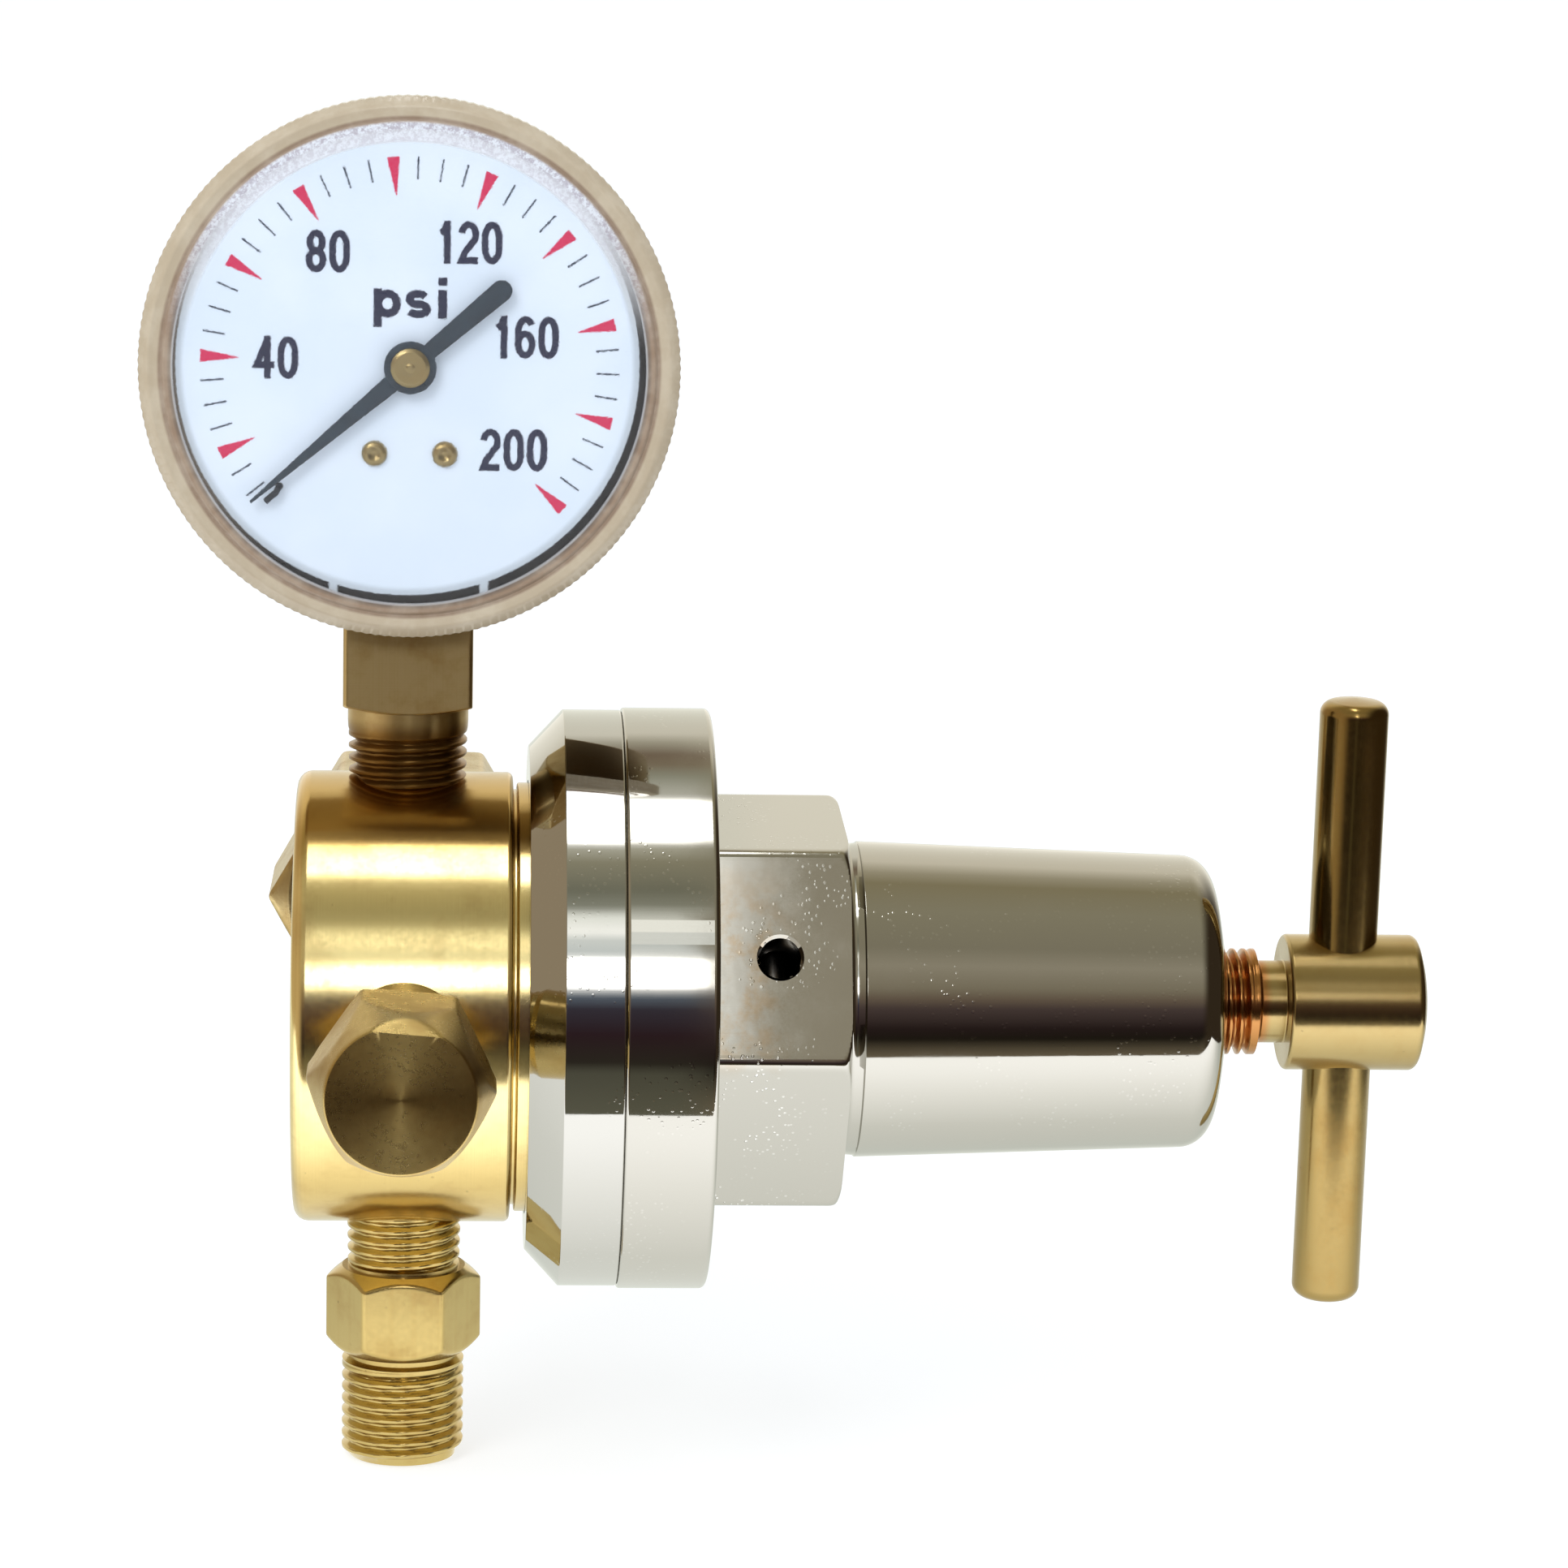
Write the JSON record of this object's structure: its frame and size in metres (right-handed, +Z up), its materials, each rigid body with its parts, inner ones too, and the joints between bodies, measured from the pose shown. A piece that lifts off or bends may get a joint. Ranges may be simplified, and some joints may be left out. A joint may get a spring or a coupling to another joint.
{
  "type": "carbon dioxide regulator",
  "caption": "Brass gas pressure regulator with a plated bonnet, T-handle adjusting screw, round pressure gauge, loose inlet nut, hex side fitting and threaded outlet.",
  "frame": {"origin": "on the outlet fitting's axis where its lower thread starts, 1 mm above its end face", "axes": "+Z up through the body to the gauge, +X along the bonnet to the T-handle, -Y out of the gauge face; the inlet leaves along +Y"},
  "size_m": [0.1497, 0.1379, 0.1595],
  "materials": {
    "brass_body": "satin turned",
    "plated_ring": "polished nickel plate",
    "plated_bonnet": "polished nickel plate",
    "screw_brass": "turned",
    "bar_brass": "bright drawn",
    "ball_steel": "polished",
    "button_steel": "zinc plated",
    "spring_steel": "oiled",
    "plate_brass": "turned",
    "slip_steel": "ground",
    "diaphragm_rubber": "fabric reinforced",
    "nozzle_brass": "turned",
    "poppet_brass": "turned",
    "seat_nylon": "nylon",
    "nipple_brass": "turned",
    "filter_bronze": "sintered",
    "gasket_nylon": "nylon",
    "nut_brass": "machined bar",
    "plug_brass": "machined bar",
    "outlet_brass": "machined bar",
    "socket_brass": "machined bar",
    "case_brass": "bronze lacquer",
    "lens_clear": "clear polycarbonate",
    "dial_white": "satin white",
    "small_brass": "turned",
    "pin_dark": "blackened",
    "pointer_dark": "satin slate",
    "movement_brass": "stamped",
    "tube_bronze": "drawn",
    "hair_bronze": "drawn"
  },
  "bodies": {
    "regulator": {"brass_body": "brass_body", "clamp_ring": "plated_ring", "bonnet": "plated_bonnet", "range_spring": "spring_steel", "slip_ring": "slip_steel", "diaphragm": "diaphragm_rubber", "valve_nozzle": "nozzle_brass", "valve_spring": "spring_steel", "inlet_nipple": "nipple_brass", "inlet_filter": "filter_bronze", "inlet_gasket": "gasket_nylon", "front_plug": "plug_brass", "outlet_fitting": "outlet_brass", "gauge_socket": "socket_brass", "gauge_case": "case_brass", "gauge_lens": "lens_clear", "gauge_dial": "dial_white", "dial_screws": "small_brass", "stop_pin": "pin_dark", "bourdon_tube": "tube_bronze", "tube_tip": "movement_brass", "front_movement_plate": "movement_brass", "rear_movement_plate": "movement_brass", "movement_pillars": "movement_brass", "hairspring": "hair_bronze"},
    "spring_carrier": {"spring_button": "button_steel", "thrust_ball": "ball_steel"},
    "handle": {"adjusting_screw": "screw_brass", "tee_bar": "bar_brass"},
    "valve_train": {"valve_poppet": "poppet_brass", "valve_seat": "seat_nylon", "diaphragm_plate": "plate_brass"},
    "inlet_nut": {"inlet_nut": "nut_brass"},
    "pointer": {"gauge_pointer": "pointer_dark", "pointer_cap": "small_brass", "pinion_shaft": "movement_brass"},
    "sector": {"sector_gear": "movement_brass"},
    "link": {"drive_link": "movement_brass"}
  },
  "joints": [
    {"name": "screw_travel", "type": "slide", "parent": "regulator", "child": "spring_carrier", "axis": [1, 0, 0], "range_m": [-0.00635, 0.00254], "deforming": ["range_spring"]},
    {"name": "handle_turn", "type": "hinge", "parent": "spring_carrier", "child": "handle", "pos_m": [0.11, 0, 0.054], "axis": [1, 0, 0], "range_deg": [-1800, 720]},
    {"name": "valve_travel", "type": "slide", "parent": "regulator", "child": "valve_train", "axis": [1, 0, 0], "range_m": [-0.0008, 0], "deforming": ["diaphragm", "valve_spring"]},
    {"name": "nut_spin", "type": "hinge", "parent": "regulator", "child": "inlet_nut", "pos_m": [0, 0.063, 0.054], "axis": [0, 1, 0], "continuous": true},
    {"name": "pointer_turn", "type": "hinge", "parent": "regulator", "child": "pointer", "pos_m": [0, 0, 0.1282], "axis": [0, -1, 0], "range_deg": [-264.6, 0], "deforming": ["bourdon_tube", "tube_tip", "hairspring"]},
    {"name": "sector_turn", "type": "hinge", "parent": "regulator", "child": "sector", "pos_m": [0.01081, 0, 0.12063], "axis": [0, -1, 0], "range_deg": [0, 26.5]},
    {"name": "link_turn", "type": "hinge", "parent": "sector", "child": "link", "pos_m": [0.01491, 0, 0.11776], "axis": [0, -1, 0], "range_deg": [-26.5, 0]}
  ],
  "couplings": [
    {"joint": "screw_travel", "follows": "handle_turn", "m_per_rad": 0.00020213},
    {"joint": "sector_turn", "follows": "pointer_turn", "ratio": -0.1},
    {"joint": "link_turn", "follows": "pointer_turn", "ratio": 0.1}
  ]
}
